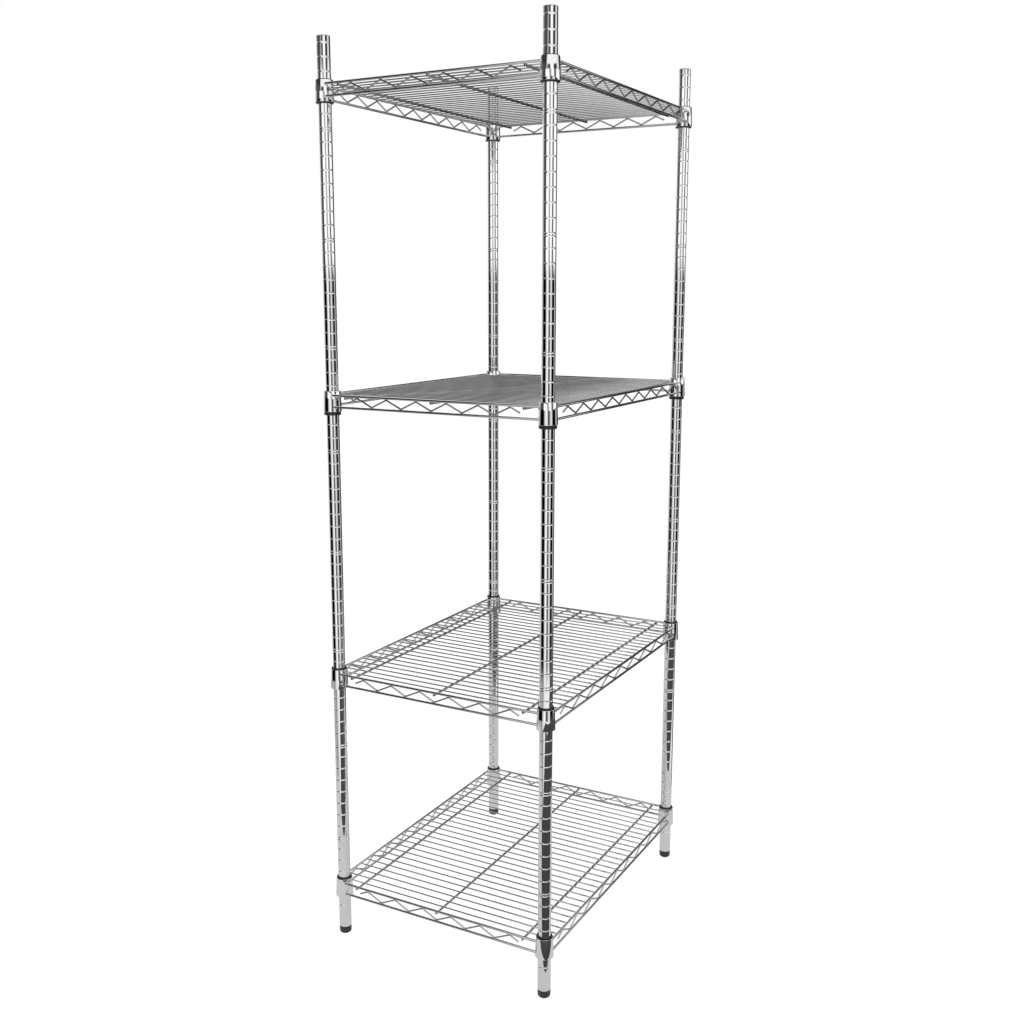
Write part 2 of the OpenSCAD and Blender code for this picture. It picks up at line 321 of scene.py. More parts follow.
def grooveDepths(length):
    # how far each groove is below the top of the tube
    count = int((length - post["firstGroove"] - post["plainEnd"]) / post["pitch"]) + 1
    depths = []
    for i in range(count):
        depth = post["firstGroove"] + i * post["pitch"]
        depths.append(depth)
        if i % post["markerEvery"] == post["markerEvery"] - 2:
            depths.append(depth + post["markerDrop"])
    return depths


def postOutline(low, high):
    # outer skin from the foot up with every rolled groove, then the bore back down
    radius, bore, lip = post["radius"], post["radius"] - post["wall"], post["lip"]
    points = [(radius - lip, low), (radius, low + lip), (radius, low + 2 * lip)]
    steps, half, keep = post["grooveSteps"], post["grooveWidth"] / 2, post["besideGroove"]
    for depth in reversed(grooveDepths(high - low)):
        middle = high - depth
        points.append((radius, middle - half - keep))
        for i in range(steps + 1):
            dip = post["grooveDepth"] * (1 - math.cos(math.tau * i / steps)) / 2
            points.append((radius - dip, middle + half * (2 * i / steps - 1)))
        points.append((radius, middle + half + keep))
    points += [(radius, high - 2 * lip), (radius, high - lip), (radius - lip, high), (bore + lip, high),
               (bore, high - lip), (bore, low + lip), (bore + lip, low)]
    return points


for corner in corners:
    low, high = boxes["post_" + corner]
    tube = turnedShape(postOutline(low.z / mm, high.z / mm), post["around"])
    bmesh.ops.translate(tube, verts=tube.verts, vec=postPlace(corner))
    finishPiece("tube_" + corner, tube, postChrome, "post_frame", ["post_" + corner])
print("posts made")


# post caps

cap = {
    "rim": 1.0,
    "edge": 0.5,                  # rounding of the rim
    "dish": 0.35,
    "dishWay": (4.2, 3.4, 2.8),   # from the rim's outside in to the dish's floor, its slope and its brow
    "brow": 0.06,
    "plug": 12.0,
    "plugGap": 0.05,              # between the grip rings and the bore
    "plugLead": 1.0,
    "grips": (-3.0, -7.0),        # heights of the grip rings
    "grip": (0.9, 0.4, 0.3),      # half height of a ring, of its flat, and its depth
    "around": 48,
}


def capOutline():
    # a shallow dish in the top, a round outer edge, and a plug with two grip rings
    radius, bore = post["radius"], post["radius"] - post["wall"] - cap["plugGap"]
    rim, edge, plug, dish, lead = (cap[k] for k in ("rim", "edge", "plug", "dish", "plugLead"))
    floorEnd, slopeEnd, browEnd = (radius - way for way in cap["dishWay"])
    points = [(0, rim - dish), (floorEnd, rim - dish), (slopeEnd, rim - cap["brow"]), (browEnd, rim)]
    points += [(radius - edge + edge * math.sin(a), rim - edge + edge * math.cos(a)) for a in
               (0, math.pi / 6, math.pi / 3, math.pi / 2)]
    deep = cap["grip"][2]
    points += [(radius, 0), (bore - deep, 0)]
    for z in cap["grips"]:
        points += reversed(gripRing(bore, z, *cap["grip"]))
    points += [(bore - deep, lead - plug), (bore - deep - lead, -plug), (0, -plug)]
    return points


for corner in corners:
    low, high = boxes["post_cap_" + corner]
    plug = turnedShape(capOutline(), cap["around"])
    seat = Vector((0, 0, high.z - cap["rim"] * mm))
    bmesh.ops.translate(plug, verts=plug.verts, vec=postPlace(corner) + seat)
    finishPiece("cap_" + corner, plug, capPlastic, "post_frame", ["post_cap_" + corner])
print("caps made")


# levelling feet: insert, stud and base

foot = {
    "rimHeight": 1.5,
    "rimEdge": 0.75,
    "plug": 26.0,
    "plugGap": 0.05,
    "plugLead": (1.2, 1.0),       # across and up
    "grips": (5.0, 12.0, 19.0),   # heights of the grip rings above the rim
    "grip": (2.0, 1.4, 0.3),      # half height of a ring, of its flat, and its depth
    "hole": 4.85,
    "holeEdge": 0.3,
    "flats": 22.8,
    "radius": 12.5,
    "height": 15.0,
    "round": 5.0,
    "chamfer": 1.2,
    "studHole": 10.0,             # how deep the stud sits in the base
    "studRadius": 4.75,
    "threadDepth": 0.6,
    "threadPitch": 1.5875,
    "threadCrest": 0.12,          # half width of a thread's crest
    "around": 72,
    "insertAround": 48,
    "studAround": 32,
}


def insertOutline():
    # heights from the under face of the rim, which shows as the tucked-in edge above a foot
    rimRadius = post["radius"] - post["wall"] / 2
    bore = post["radius"] - post["wall"] - foot["plugGap"]
    rim, top, edge = foot["rimHeight"], foot["rimHeight"] + foot["plug"], foot["rimEdge"]
    hole, holeEdge, deep = foot["hole"], foot["holeEdge"], foot["grip"][2]
    leadAcross, leadUp = foot["plugLead"]
    points = [(hole, holeEdge), (hole + holeEdge, 0), (rimRadius - edge, 0)]
    points += [(rimRadius - edge + edge * math.sin(a), edge - edge * math.cos(a)) for a in
               (math.pi / 6, math.pi / 3, math.pi / 2)]
    points += [(rimRadius, rim), (bore - deep, rim)]
    for z in foot["grips"]:
        points += gripRing(bore, rim + z, *foot["grip"])
    points += [(bore - deep, top - leadUp), (bore - leadAcross, top), (hole, top)]
    return points


def studOutline(length):
    # rings of the real pitch, so the stud looks the same however far it is turned
    outer, root = foot["studRadius"], foot["studRadius"] - foot["threadDepth"]
    count = int(length / foot["threadPitch"])
    points = [(0, 0), (root, 0)]
    for i in range(count):
        z = (i + 0.5) * foot["threadPitch"]
        points += [(outer, z - foot["threadCrest"]), (outer, z + foot["threadCrest"]),
                   (root, z + foot["threadPitch"] / 2)]
    points += [(root, length), (0, length)]
    return points


def footShape():
    # a turned base with a rounded lower edge, cut to six flats, with a hole for its stud
    radius, height, curve, chamfer = (foot[k] for k in ("radius", "height", "round", "chamfer"))
    hole, floor = foot["hole"], height - foot["studHole"]
    points = [(0, 0)]
    points += [(radius - curve * (1 - math.sin(a)), curve * (1 - math.cos(a))) for a in
               [math.radians(15 * i) for i in range(7)]]
    points += [(radius, height - chamfer), (radius - 2 * chamfer, height), (hole, height), (hole, floor),
               (0, floor)]
    bm = turnedShape(points, foot["around"])
    for i in range(6):
        out = Vector((math.cos(math.radians(60 * i + 30)), math.sin(math.radians(60 * i + 30)), 0))
        cut = bmesh.ops.bisect_plane(bm, geom=bm.verts[:] + bm.edges[:] + bm.faces[:], dist=sliverGap,
                                     plane_co=out * foot["flats"] / 2 * mm, plane_no=out, clear_outer=True)
        rim = [e for e in cut["geom_cut"] if isinstance(e, bmesh.types.BMEdge)]
        bmesh.ops.contextual_create(bm, geom=rim)
    bmesh.ops.remove_doubles(bm, verts=bm.verts, dist=mergeGap)
    return bm


for corner in corners:
    place = postPlace(corner)
    low, high = boxes["foot_insert_" + corner]
    insert = turnedShape(insertOutline(), foot["insertAround"])
    bmesh.ops.translate(insert, verts=insert.verts, vec=place + Vector((0, 0, low.z)))
    finishPiece("insert_" + corner, insert, insertZinc, "post_frame", ["foot_insert_" + corner])

    low, high = boxes["foot_stud_" + corner]
    stud = turnedShape(studOutline((high.z - low.z) / mm), foot["studAround"])
    bmesh.ops.translate(stud, verts=stud.verts, vec=place + Vector((0, 0, low.z)))
    finishPiece("stud_" + corner, stud, studZinc, "foot_stud_" + corner, ["foot_stud_" + corner])

    base = footShape()
    bmesh.ops.translate(base, verts=base.verts, vec=place)
    finishPiece("foot_" + corner, base, footPlastic, "foot_" + corner, ["foot_base_" + corner],
                plasticAngle)
print("feet made")


# split sleeves

sleeve = {
    "length": 44.0,
    "inner": 12.8,
    "topRadius": 15.0,
    "bottomRadius": 16.65,
    "ridge": 0.35,
    "ridgeWidth": 1.8,
    "ridgeDrops": (12.0, 37.4),
    "split": 0.4,
    "lowerRound": 1.2,
    "topEdge": 0.44,
    "seams": (15.0, 30.0),        # shallow moulded lines, mm below the top
    "seam": (0.5, 0.25, 0.2),     # half width of a line, of its floor, and its depth
    "around": 24,
}


def sleeveOutline():
    # heights below the sleeve's top
    length, inner, top, bottom = (sleeve[k] for k in ("length", "inner", "topRadius", "bottomRadius"))
    half, deep = sleeve["ridgeWidth"] / 2, sleeve["ridge"]
    edge, curve = sleeve["topEdge"], sleeve["lowerRound"]
    seamHalf, seamFloor, seamDepth = sleeve["seam"]
    points = [(top - edge, 0), (inner, 0)]
    for drop in sleeve["ridgeDrops"]:
        points += [(inner, half - drop), (inner - deep, half - deep - drop),
                   (inner - deep, deep - half - drop), (inner, -half - drop)]
    points += [(inner, -length)]
    points += [(bottom - curve * (1 - math.sin(a)), curve * (1 - math.cos(a)) - length) for a in
               [math.radians(22.5 * i) for i in range(5)]]
    for drop in reversed(sleeve["seams"]):
        skin = top + (bottom - top) * drop / length
        points += [(skin, -drop - seamHalf), (skin - seamDepth, -drop - seamFloor),
                   (skin - seamDepth, seamFloor - drop), (skin, seamHalf - drop)]
    points += [(top, -edge)]
    return points


def sleeveHalf():
    # the half on the +X side of the post, with its top at height 0
    bm = bmesh.new()
    verts = [bm.verts.new((0, -r * mm, z * mm)) for r, z in sleeveOutline()]
    edges = [bm.edges.new(pair) for pair in zip(verts, verts[1:] + verts[:1])]
    bmesh.ops.spin(bm, geom=verts + edges, cent=(0, 0, 0), axis=(0, 0, 1), angle=math.pi,
                   steps=sleeve["around"], use_merge=False, use_duplicate=False)
    bmesh.ops.bisect_plane(bm, geom=bm.verts[:] + bm.edges[:] + bm.faces[:], dist=sliverGap,
                           plane_co=(sleeve["split"] / 2 * mm, 0, 0), plane_no=(1, 0, 0), clear_inner=True)
    bmesh.ops.holes_fill(bm, edges=[e for e in bm.edges if e.is_boundary], sides=0)
    return bm


half = sleeveHalf()
for shelf in shelves:
    for side, turn in (("outer", 0.0), ("inner", math.pi)):
        node = shelf + "_" + side + "_sleeves"
        low, high = boxes[node]
        halves = bmesh.new()
        for corner in corners:
            place = postPlace(corner)
            outwards = math.atan2(math.copysign(1, place.y), math.copysign(1, place.x))
            stampShape(halves, half, Matrix.Translation(place + Vector((0, 0, high.z)))
                       @ Matrix.Rotation(outwards + turn, 4, "Z"))
        name = shelf + "_" + side + "_halves"
        finishPiece(name, halves, sleevePlastic, "post_frame", [node], plasticAngle)
half.free()
print("sleeves made")


# collars

collar = {
    "height": 40.0,
    "wall": 1.2,
    "topRadius": 16.62,
    "bottomRadius": 18.12,
    "edge": 0.45,
    "around": 64,
    "weld": (3.4, 1.9, 2.5),   # bead where a side wire meets the collar: along, out, up
    "weldInset": 0.6,          # how far that bead's middle is inside the skin
    "wireSink": 0.4,           # how far a wire runs into the skin
}
# radius of each kind of wire, and the sides of the straight ones
wire = {"side": 2.5, "zigzag": 1.75, "mat": 1.5, "rod": 2.4}
wireSides = {"side": 24, "mat": 14, "rod": 20}


def collarOutline():
    # heights below the collar's top; both ends are rolled a little
    wall, edge, height = collar["wall"], collar["edge"], collar["height"]
    top, bottom = collar["topRadius"], collar["bottomRadius"]
    quarters = ((top, -edge, 0.0), (top - wall + 2 * edge, -edge, 0.5),
                (bottom - wall + 2 * edge, edge - height, 1.0), (bottom, edge - height, 1.5))
    points = []
    for radius, middle, start in quarters:
        for i in range(4):
            a = math.pi * (start + i / 6)
            points.append((radius - edge + edge * math.cos(a), middle + edge * math.sin(a)))
    return points


def collarRadius(shelf, z):
    # outer radius, in mm, of a shelf's tapered collars at a height
    share = (boxes[shelf + "_collars"][1].z - z) / mm / collar["height"]
    return collar["topRadius"] + (collar["bottomRadius"] - collar["topRadius"]) * share


def sideWires(shelf, name):
    # where the four side wires of one drop run: height, and the lines outside the posts
    low, high = boxes[shelf + "_" + name]
    return (low.z + high.z) / 2, high.x - wire["side"] * mm, high.y - wire["side"] * mm


inset = collar["weldInset"] * mm
for shelf in shelves:
    low, high = boxes[shelf + "_collars"]
    ring = turnedShape(collarOutline(), collar["around"])
    rings = bmesh.new()
    for corner in corners:
        place = postPlace(corner)
        sideX, sideY = math.copysign(1, place.x), math.copysign(1, place.y)
        stampShape(rings, ring, Matrix.Translation(place + Vector((0, 0, high.z))))
        for name in ("top_wires", "bottom_wires"):
            # the beads sit where the two side wires come out of the collar's skin
            z, x, y = sideWires(shelf, name)
            radius = collarRadius(shelf, z) * mm
            gapX, gapY = y - abs(place.y), x - abs(place.x)
            inX = abs(place.x) - math.sqrt(radius * radius - gapX * gapX)
            inY = abs(place.y) - math.sqrt(radius * radius - gapY * gapY)
            addBead(rings, largeBead, (sideX * (inX - inset), sideY * y, z), collar["weld"])
            addBead(rings, largeBead, (sideX * x, sideY * (inY - inset), z), collar["weld"], math.pi / 2)
    ring.free()
    finishPiece(shelf + "_collar_tubes", rings, collarChrome, shelf, [shelf + "_collars"],
                wireAngle)
print("collars made")


# side wires

def wireEnd(place, gap, z, shelf):
    # where a wire that passes a post's axis at a gap ends, just inside the collar's skin
    radius = (collarRadius(shelf, z) - collar["wireSink"]) * mm
    return place - math.sqrt(radius * radius - gap * gap)


for shelf in shelves:
    place = postPlace("back_right")
    for name in ("top_wires", "bottom_wires"):
        z, x, y = sideWires(shelf, name)
        endX = wireEnd(place.x, y - place.y, z, shelf)
        endY = wireEnd(place.y, x - place.x, z, shelf)
        wires = bmesh.new()
        for s in (-1, 1):
            addWire(wires, (-endX, s * y, z), (endX, s * y, z), wire["side"] * mm, wireSides["side"])
            addWire(wires, (s * x, -endY, z), (s * x, endY, z), wire["side"] * mm, wireSides["side"])
        node = shelf + "_" + name
        finishPiece(node + "_rods", wires, bentWireChromePaintedShade, shelf, [node], wireAngle)
print("side wires made")


# zigzag wires

zigzag = {
    "bend": 5.0,
    "tail": 19.0,             # straight end past the last bend
    "longBends": 9,           # bends at the upper side wire
    "shortBends": 6,
    "shortStart": 69.0,       # from a post's axis to a short zigzag's first bend
    "matsPerBend": 3,         # mat wires from one long bend to the next
    "sides": 12,
    "bendSteps": 7,
    "bead": (2.6, 1.4, 0.9),
}
mat = {
    "count": 29,
    "edge": 0.4,
    "bead": (1.9, 1.7, 1.1),          # on a support rod
    "endBead": (1.9, 1.2, 1.8),       # at a long side wire
    "collarBead": (2.4, 1.7, 1.9),    # at a collar
    "rodBead": (2.2, 2.7, 1.1),       # where a rod passes under a short side wire
}
weldSink = 0.3                        # how far two welded wires sink into each other
# from a wire's axis to the weld under or over it
sideDrop = (wire["side"] - weldSink / 2) * mm
matDrop = (wire["mat"] - weldSink / 2) * mm


def zigzagShape(bends, step, rise):
    # a wire swept along X: the middle of its upper bends is at height 0
    bend, tail, radius = zigzag["bend"] * mm, zigzag["tail"] * mm, wire["zigzag"] * mm
    run, drop = step / 2, rise - 2 * bend
    slope = math.atan2(drop, run) + math.asin(2 * bend / math.hypot(run, drop))
    straight = (run - 2 * bend * math.sin(slope)) / math.cos(slope)
    spot = Vector((-(bends - 1) / 2 * step - bend * math.sin(slope) - tail * math.cos(slope), 0,
                   -bend * (1 - math.cos(slope)) - tail * math.sin(slope)))
    bm = bmesh.new()
    facing = Matrix.Translation(spot) @ Matrix.Rotation(math.pi / 2 - slope, 4, "Y")
    ring = bmesh.ops.create_circle(bm, cap_ends=False, segments=zigzag["sides"], radius=radius,
                                   matrix=facing)["verts"]
    heading = slope
    for i in range(2 * bends - 1):
        # a straight, then a bend over the top or round the bottom
        length = tail if i == 0 else straight
        ring, spot = pushRing(bm, ring, spot, heading, length)
        down = 1 if i % 2 == 0 else -1
        centre = spot + down * bend * Vector((math.sin(heading), 0, -math.cos(heading)))
        made = bmesh.ops.spin(bm, geom=ring + ringEdges(ring), cent=centre, axis=(0, 1, 0),
                              angle=down * 2 * slope, steps=zigzag["bendSteps"], use_merge=False,
                              use_duplicate=False)
        ring = [v for v in made["geom_last"] if isinstance(v, bmesh.types.BMVert)]
        spot = centre + Matrix.Rotation(down * 2 * slope, 3, "Y") @ (spot - centre)
        heading -= down * 2 * slope
    pushRing(bm, ring, spot, heading, tail)
    bmesh.ops.holes_fill(bm, edges=[e for e in bm.edges if e.is_boundary], sides=0)
    return bm


def ringEdges(ring):
    # the edges that join a ring's own vertices
    members = set(ring)
    return list({e for v in ring for e in v.link_edges if e.other_vert(v) in members})


def pushRing(bm, ring, spot, heading, length):
    # draws the wire out straight from its last ring
    made = bmesh.ops.extrude_edge_only(bm, edges=ringEdges(ring))
    ring = [v for v in made["geom"] if isinstance(v, bmesh.types.BMVert)]
    step = length * Vector((math.cos(heading), 0, math.sin(heading)))
    bmesh.ops.translate(bm, verts=ring, vec=step)
    return ring, spot + step


for shelf in shelves:
    # a zigzag stands between the upper and the lower side wire, its bends welded to both
    topZ, bottomZ = sideWires(shelf, "top_wires")[0], sideWires(shelf, "bottom_wires")[0]
    webDrop = (wire["side"] + wire["zigzag"] - weldSink) * mm
    rise = topZ - bottomZ - 2 * webDrop
    low, high = boxes[shelf + "_mat_wires"]
    matPitch = (high.x - low.x - 2 * wire["mat"] * mm) / (mat["count"] - 1)
    place = postPlace("back_right")

    bends, step = zigzag["longBends"], zigzag["matsPerBend"] * matPitch
    web = zigzagShape(bends, step, rise)
    low, high = boxes[shelf + "_long_zigzags"]
    y = high.y - wire["zigzag"] * mm
    both = bmesh.new()
    for s in (-1, 1):
        stampShape(both, web, Matrix.Translation((0, s * y, topZ - webDrop)))
        for i in range(2 * bends - 1):
            x = (i / 2 - (bends - 1) / 2) * step
            z = topZ - sideDrop if i % 2 == 0 else bottomZ + sideDrop
            addBead(both, smallBead, (x, s * y, z), zigzag["bead"])
    web.free()
    finishPiece(shelf + "_long_webs", both, bentWireChromePaintedShade, shelf, [shelf + "_long_zigzags"],
                wireAngle)

    bends = zigzag["shortBends"]
    step = 2 * (place.y - zigzag["shortStart"] * mm) / (bends - 1)
    web = zigzagShape(bends, step, rise)
    low, high = boxes[shelf + "_short_zigzags"]
    x = high.x - wire["zigzag"] * mm
    both = bmesh.new()
    sideways = Matrix.Rotation(math.pi / 2, 4, "Z")
    for s in (-1, 1):
        stampShape(both, web, Matrix.Translation((s * x, 0, topZ - webDrop)) @ sideways)
        for i in range(2 * bends - 1):
            y = (i / 2 - (bends - 1) / 2) * step
            z = topZ - sideDrop if i % 2 == 0 else bottomZ + sideDrop
            addBead(both, smallBead, (s * x, y, z), zigzag["bead"], math.pi / 2)
    web.free()
    finishPiece(shelf + "_short_webs", both, bentWireChromePaintedShade, shelf, [shelf + "_short_zigzags"],
                wireAngle)
print("zigzag wires made")


# mats and support rods

for shelf in shelves:
    topZ, topX, topY = sideWires(shelf, "top_wires")
    low, high = boxes[shelf + "_support_rods"]
    rodZ, rodY = (low.z + high.z) / 2, high.y - wire["rod"] * mm
    rods = bmesh.new()
    for y in (-rodY, 0, rodY):
        # each rod passes under both short side wires
        addWire(rods, (low.x, y, rodZ), (high.x, y, rodZ), wire["rod"] * mm, wireSides["rod"])
        for s in (-1, 1):
            addBead(rods, largeBead, (s * topX, y, topZ - sideDrop), mat["rodBead"])
    finishPiece(shelf + "_mat_rods", rods, rodChromePaintedShade, shelf, [shelf + "_support_rods"], wireAngle)

    low, high = boxes[shelf + "_mat_wires"]
    matZ, firstX = (low.z + high.z) / 2, low.x + wire["mat"] * mm
    matPitch = -2 * firstX / (mat["count"] - 1)
    place = postPlace("back_right")
    wires = bmesh.new()
    for i in range(mat["count"]):
        # the first and the last wire run from collar to collar, the others between the long side wires
        x = firstX + i * matPitch
        if i in (0, mat["count"] - 1):
            end = weldY = wireEnd(place.y, place.x - abs(x), matZ, shelf)
            bead = mat["collarBead"]
        else:
            end, weldY, bead = high.y, topY - wire["side"] * mm, mat["endBead"]
        addWire(wires, (x, -end, matZ), (x, end, matZ), wire["mat"] * mm, wireSides["mat"], mat["edge"])
        for s in (-1, 1):
            addBead(wires, smallBead, (x, s * weldY, matZ), bead)
        for y in (-rodY, 0, rodY):
            addBead(wires, smallBead, (x, y, matZ - matDrop), mat["bead"])
    finishPiece(shelf + "_mat_lines", wires, matChromePaintedShade, shelf, [shelf + "_mat_wires"], wireAngle)
print("mats made")


# floor, light and camera

studio = {
    "cameraBearing": -153.1,        # degrees from +X round to the camera
    "paperBearing": -130.5,         # where the paper's front edge faces
    "paperReach": 0.49,             # from the middle of the unit to that edge, m
    "paperBack": -3.0,              # to the edge behind the unit
    "paperSides": (-1.2, 0.8),      # to its left and right edges
    "paperHeight": -0.0004,
    "paperGlow": (1.2, 0.57),       # strength that the camera sees, and that chrome sees
    "paperShare": 0.8,              # how much of the paper glows
    "darkReach": 1.25,              # dark floor in front of the paper, which only reflections see
    "darkSides": (-0.85, 2.4),
    "darkHeight": -0.0008,
    "floorSpan": 60.0,
    "floorHeight": -0.0012,
    "plain": (0.62, 0.62, 0.63),    # light from all round on whatever isn't shiny
    # what chrome sees: (bearing from the camera, brightness) in belts from high to low
    "ceiling": ((-180, 1.1), (-140, 0.8), (-124, 0.05), (-46, 0.03), (-38, 0.8), (-28, 1.0), (80, 1.0),
                (92, 0.8), (104, 0.6), (114, 0.05), (180, 0.05)),
    "high": ((-180, 0.9), (-150, 0.5), (-130, 0.35), (-104, 0.1), (-50, 0.05), (-43, 0.5), (-32, 0.35),
             (-20, 0.04), (-7, 0.06), (2, 0.6), (11, 1.2), (29, 1.15), (40, 0.25), (47, 0.03), (67, 0.03),
             (76, 0.3), (88, 0.9), (104, 0.8), (116, 0.1), (124, 0.03), (180, 0.03)),
    "wall": ((-180, 1.0), (-143, 1.0), (-112, 0.5), (-94, 0.1), (-60, 0.04), (-53, 0.4), (-47, 1.2),
             (-17, 1.2), (-9, 0.45), (3, 0.4), (12, 0.65), (19, 1.2), (36, 1.1), (44, 0.3), (49, 0.08),
             (60, 0.08), (68, 0.8), (75, 1.2), (108, 1.1), (116, 0.6), (128, 0.05), (180, 0.05)),
    "room": ((-180, 0.8), (-130, 0.85), (-108, 0.5), (-97, 0.1), (-92, 0.0), (-48, 0.0), (-42, 0.4),
             (-34, 0.65), (-22, 1.05), (-7, 0.95), (0, 0.12), (14, 0.08), (23, 0.35), (34, 0.9),
             (48, 0.65), (56, 0.0), (90, 0.0), (97, 0.2), (106, 0.6), (114, 0.5), (122, 0.04), (180, 0.03)),
    "ground": ((-180, 0.9), (-160, 0.5), (-140, 0.25), (-110, 0.35), (-87, 0.43), (-68, 0.42),
               (-58, 0.25), (-48, 0.4), (-36, 0.7), (-20, 0.9), (96, 0.9), (106, 0.5), (114, 0.05),
               (180, 0.04)),
    "under": ((-180, 1.0), (-140, 0.8), (-124, 0.06), (-102, 0.06), (-94, 0.6), (-54, 0.6), (-40, 0.9),
              (90, 0.9), (106, 0.5), (116, 0.05), (180, 0.05)),
    # each belt below the ceiling: its upper edge in degrees over the horizon, and how soft that edge is
    "belts": (("high", 16.0, 1.5), ("wall", 10.0, 0.7), ("room", 1.0, 0.7), ("ground", -19.0, 0.7),
              ("under", -38.0, 1.0)),
}
# each lamp's place, what it points at, its size in m and its power in W
lamps = {
    "left softbox": ((-2.2, 2.6, 3.2), (0, 0, 0.9), (1.6, 1.6), 34),
    "right softbox": ((1.6, -3.0, 3.4), (0, 0, 0.8), (1.6, 1.6), 26),
    "top light": ((0.6, 0.8, 4.2), (0, 0, 0), (2.4, 2.4), 30),
}
# lens in mm, place in m, heading from +X and tilt in degrees, and shift in frame widths
view = {
    "lens": 40.64,
    "place": (-2.135, -1.149, 1.343),
    "yaw": 28.97,
    "pitch": -9.93,
    "shift": (0.0094, -0.02),
    "farthest": 200,
}


def mathNode(nodes, links, operation, *values):
    # each value is a plain number or another node's output
    node = nodes.new("ShaderNodeMath")
    node.operation = operation
    for socket, value in zip(node.inputs, values):
        if isinstance(value, (int, float)):
            socket.default_value = value
        else:
            links.new(value, socket)
    return node.outputs[0]


def beltRamp(nodes, links, share, stops):
    # one belt's greys all the way round, from -180 to 180 degrees
    node = nodes.new("ShaderNodeValToRGB")
    elements = node.color_ramp.elements
    for element, (bearing, grey) in zip(elements, (stops[0], stops[-1])):
        element.color = (grey, grey, grey, 1)
    for bearing, grey in stops[1:-1]:
        elements.new((bearing + 180) / 360).color = (grey, grey, grey, 1)
    links.new(share, node.inputs["Fac"])
    return node.outputs["Color"]


def directRays(nodes, links):
    # the light path, and whether a ray comes from the camera or through something clear
    rays = nodes.new("ShaderNodeLightPath")
    through = rays.outputs["Is Transmission Ray"]
    return rays, mathNode(nodes, links, "MAXIMUM", rays.outputs["Is Camera Ray"], through)


def studioWorld():
    # white to the camera, plain to matt surfaces, and a photographer's room to the chrome
    world = bpy.data.worlds.new("studio")
    world.use_nodes = True
    scene.world = world
    nodes, links = world.node_tree.nodes, world.node_tree.links
    nodes.clear()
    where = nodes.new("ShaderNodeTexCoord")
    turned = nodes.new("ShaderNodeMapping")
    turned.inputs["Rotation"].default_value = (0, 0, math.radians(-studio["cameraBearing"]))
    parts = nodes.new("ShaderNodeSeparateXYZ")
    links.new(where.outputs["Generated"], turned.inputs["Vector"])
    links.new(turned.outputs["Vector"], parts.inputs["Vector"])
    bearing = mathNode(nodes, links, "ARCTAN2", parts.outputs["Y"], parts.outputs["X"])
    share = mathNode(nodes, links, "MULTIPLY_ADD", bearing, 1 / math.tau, 0.5)
    height = mathNode(nodes, links, "ARCSINE", parts.outputs["Z"])
    colour = beltRamp(nodes, links, share, studio["ceiling"])
    for name, edge, soft in studio["belts"]:
        step = nodes.new("ShaderNodeMapRange")
        step.interpolation_type = "SMOOTHSTEP"
        step.inputs["From Min"].default_value = math.radians(edge + soft)
        step.inputs["From Max"].default_value = math.radians(edge - soft)
        links.new(height, step.inputs["Value"])
        # colours go into this node's inputs 6 and 7 and come out of its output 2
        mix = nodes.new("ShaderNodeMix")
        mix.data_type = "RGBA"
        links.new(step.outputs["Result"], mix.inputs[0])
        links.new(colour, mix.inputs[6])
        links.new(beltRamp(nodes, links, share, studio[name]), mix.inputs[7])
        colour = mix.outputs[2]
    rays, direct = directRays(nodes, links)
    plain, room, white = (nodes.new("ShaderNodeBackground") for _ in range(3))
    plain.inputs["Color"].default_value = (*studio["plain"], 1)
    white.inputs["Color"].default_value = (1, 1, 1, 1)
    links.new(colour, room.inputs["Color"])
    first, second = nodes.new("ShaderNodeMixShader"), nodes.new("ShaderNodeMixShader")
    links.new(rays.outputs["Is Glossy Ray"], first.inputs["Fac"])
    links.new(plain.outputs[0], first.inputs[1])
    links.new(room.outputs[0], first.inputs[2])
    links.new(direct, second.inputs["Fac"])
    links.new(first.outputs[0], second.inputs[1])
    links.new(white.outputs[0], second.inputs[2])
    output = nodes.new("ShaderNodeOutputWorld")
    links.new(second.outputs[0], output.inputs["Surface"])


def paperFinish():
    # white paper that still takes the object's shadow, and a soft grey to the chrome
    material, nodes, links, shader = newMaterial("paper")
    grain = noiseField(nodes, links, 8, (1, 1, 1), 5)
    links.new(blendColours(nodes, links, grain, ((0.8, 0.8, 0.8), (0.83, 0.83, 0.83))),
              shader.inputs["Base Color"])
    shader.inputs["Roughness"].default_value = 0.95
    shader.inputs["Specular IOR Level"].default_value = 0.1
    rays, direct = directRays(nodes, links)
    surface = shader.outputs[0]
    for ray, strength in zip((direct, rays.outputs["Is Glossy Ray"]), studio["paperGlow"]):
        glow, mix = nodes.new("ShaderNodeEmission"), nodes.new("ShaderNodeMixShader")
        glow.inputs["Strength"].default_value = strength
        links.new(mathNode(nodes, links, "MULTIPLY", ray, studio["paperShare"]), mix.inputs["Fac"])
        links.new(surface, mix.inputs[1])
        links.new(glow.outputs[0], mix.inputs[2])
        surface = mix.outputs[0]
    links.new(surface, nodes["Material Output"].inputs["Surface"])
    return material


def darkFinish():
    # bare dark floor, a little cloudy
    material, nodes, links, shader = newMaterial("dark floor")
    cloud = noiseField(nodes, links, 5, (1, 1, 1), 5)
    links.new(blendColours(nodes, links, cloud, ((0.03, 0.03, 0.03), (0.045, 0.045, 0.045))),
              shader.inputs["Base Color"])
    shader.inputs["Roughness"].default_value = 0.8
    return material


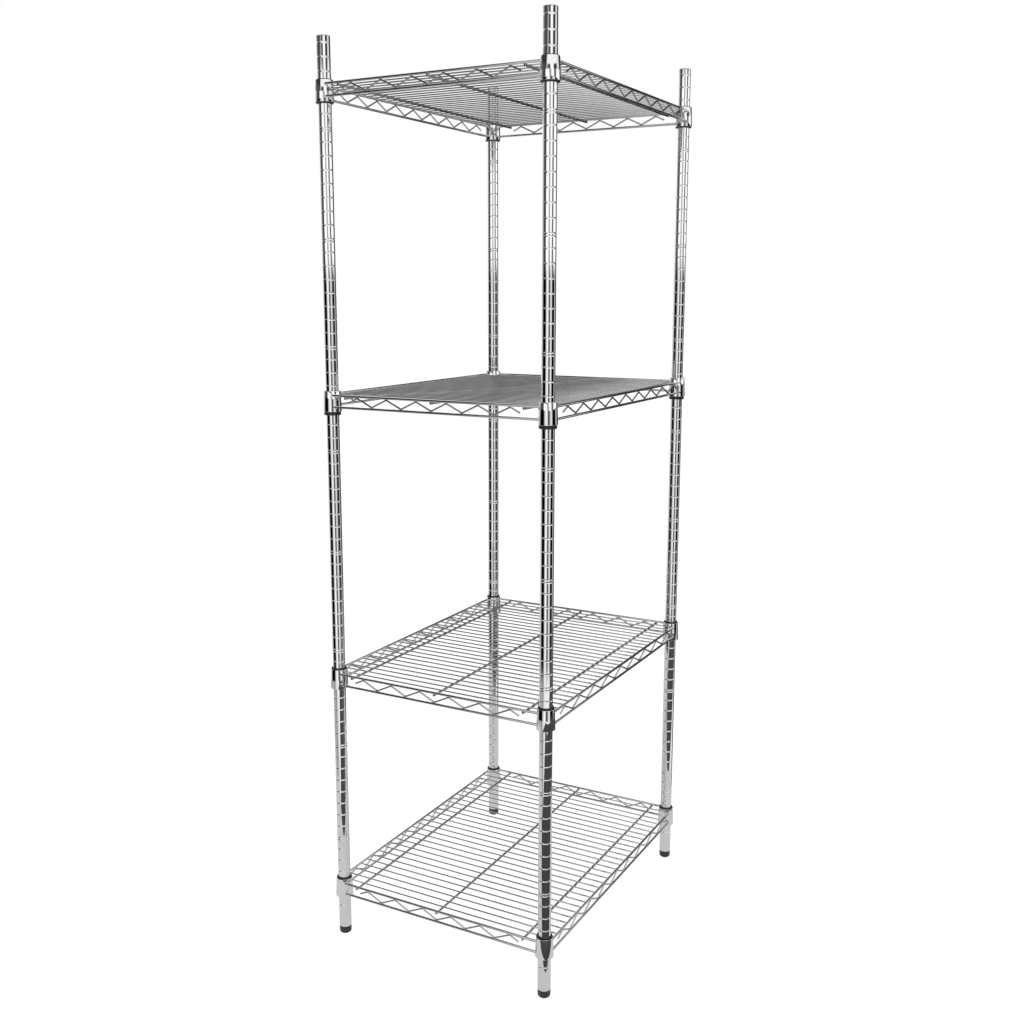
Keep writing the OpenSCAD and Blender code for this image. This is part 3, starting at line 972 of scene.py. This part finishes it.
def flatSheet(name, corner, opposite, z, turn, material):
    # a rectangle between two corners, turned about the middle of the unit
    bm = bmesh.new()
    size = Vector(opposite) - Vector(corner)
    middle = (Vector(opposite) + Vector(corner)) / 2
    place = Matrix.Rotation(turn, 4, "Z") @ Matrix.Translation((*middle, z)) @ Matrix.Diagonal((*size, 1, 1))
    bmesh.ops.create_grid(bm, x_segments=1, y_segments=1, size=0.5, matrix=place)
    mesh = bpy.data.meshes.new(name)
    bm.to_mesh(mesh)
    bm.free()
    mesh.materials.append(material)
    sheet = bpy.data.objects.new(name, mesh)
    scene.collection.objects.link(sheet)
    sheet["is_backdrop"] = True
    return sheet


studioWorld()
paper = paperFinish()
facing = math.radians(studio["paperBearing"])
left, right = studio["paperSides"]
flatSheet("paper", (studio["paperBack"], left), (studio["paperReach"], right), studio["paperHeight"], facing,
          paper)
reach = studio["floorSpan"] / 2
ground = flatSheet("floor", (-reach, -reach), (reach, reach), studio["floorHeight"], 0, paper)
ground.visible_glossy = False
left, right = studio["darkSides"]
near, far = studio["paperReach"], studio["paperReach"] + studio["darkReach"]
dark = flatSheet("dark floor", (near, left), (far, right), studio["darkHeight"], facing, darkFinish())
dark.visible_camera = dark.visible_diffuse = dark.visible_transmission = dark.visible_shadow = False


def softLamp(name, place, aim, size, power):
    lamp = bpy.data.lights.new(name, "AREA")
    lamp.shape = "RECTANGLE"
    lamp.size, lamp.size_y = size
    lamp.energy = power
    lampObject = bpy.data.objects.new(name, lamp)
    scene.collection.objects.link(lampObject)
    lampObject.location = place
    lampObject.rotation_euler = (Vector(aim) - Vector(place)).to_track_quat("-Z", "Y").to_euler()
    lampObject.visible_glossy = False       # the chrome sees the room's own panels instead


for name, (place, aim, size, power) in lamps.items():
    softLamp(name, place, aim, size, power)

camera = bpy.data.cameras.new("camera")
camera.lens = view["lens"]
camera.shift_x, camera.shift_y = view["shift"]
camera.clip_end = view["farthest"]
cameraObject = bpy.data.objects.new("camera", camera)
scene.collection.objects.link(cameraObject)
cameraObject.location = view["place"]
cameraObject.rotation_euler = (math.radians(90 + view["pitch"]), 0, math.radians(view["yaw"] - 90))
scene.camera = cameraObject
scene.view_settings.view_transform = "Standard"
print("studio made")

low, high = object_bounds()
